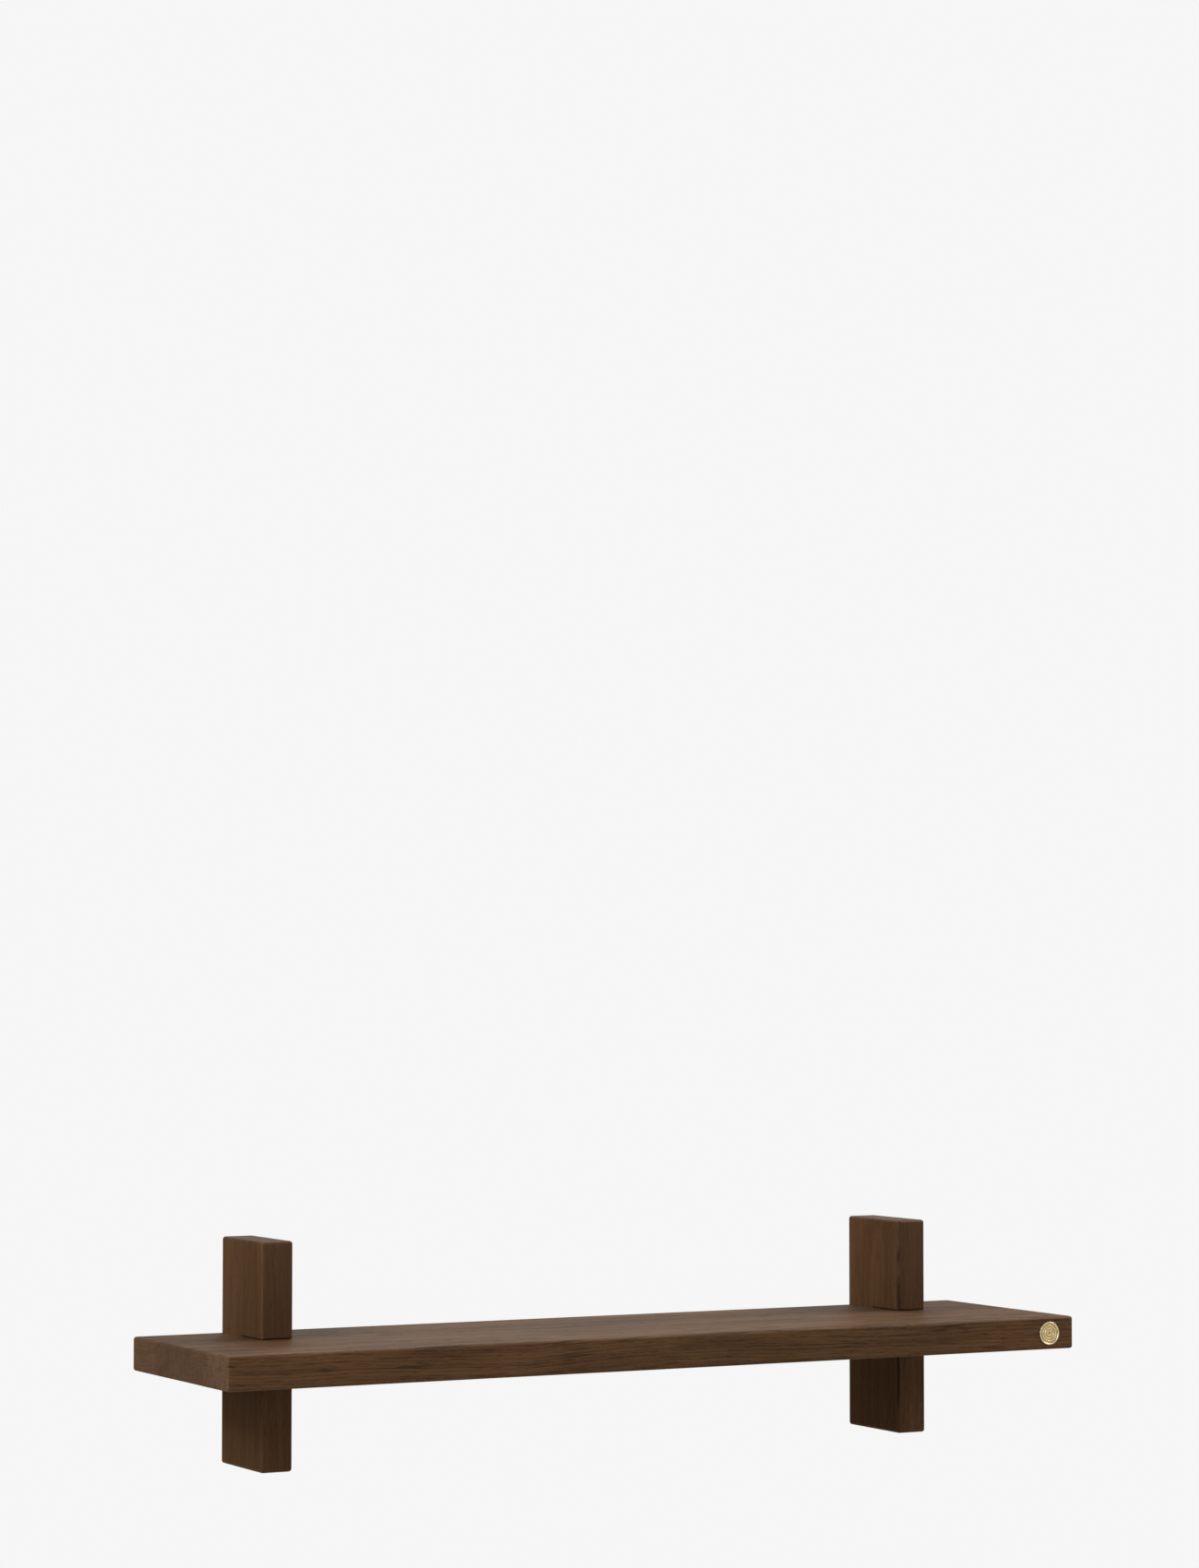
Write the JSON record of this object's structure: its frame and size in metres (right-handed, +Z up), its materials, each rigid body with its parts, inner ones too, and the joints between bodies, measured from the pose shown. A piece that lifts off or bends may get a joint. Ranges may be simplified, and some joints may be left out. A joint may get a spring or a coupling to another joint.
{
  "type": "wall shelf with brackets",
  "caption": "Solid oak board held in the notches of two upright oak brackets that pass above and below it, hung on keyhole plates let into the brackets' backs.",
  "frame": {"origin": "middle of the board's back edge, at half the board's thickness, on the wall plane", "axes": "+X to the right along the board, +Y into the wall, +Z up; the object lies on the -Y side of the wall plane"},
  "size_m": [0.8, 0.2006, 0.188],
  "materials": {
    "board_oak": "smoked oak, stained dark brown and oiled, soft satin sheen",
    "bracket_oak": "smoked oak, stained dark brown and oiled, soft satin sheen",
    "hanger_steel": "bright zinc plate, finely brushed",
    "screw_steel": "yellow zinc plate",
    "badge_brass": "pale brass, satin field with a polished rim"
  },
  "bodies": {
    "brackets": {"bracket_left": "bracket_oak", "hanger_plate_left": "hanger_steel", "hanger_screw_left_lower": "screw_steel", "hanger_screw_left_upper": "screw_steel", "bracket_right": "bracket_oak", "hanger_plate_right": "hanger_steel", "hanger_screw_right_lower": "screw_steel", "hanger_screw_right_upper": "screw_steel"},
    "board": {"board_stave_back": "board_oak", "board_stave_mid_back": "board_oak", "board_stave_mid_front": "board_oak", "board_stave_front": "board_oak", "brass_badge": "badge_brass"}
  },
  "joints": [
    {"name": "board_slide", "type": "slide", "parent": "brackets", "child": "board", "axis": [0, -1, 0], "range_m": [0, 0.084]}
  ]
}
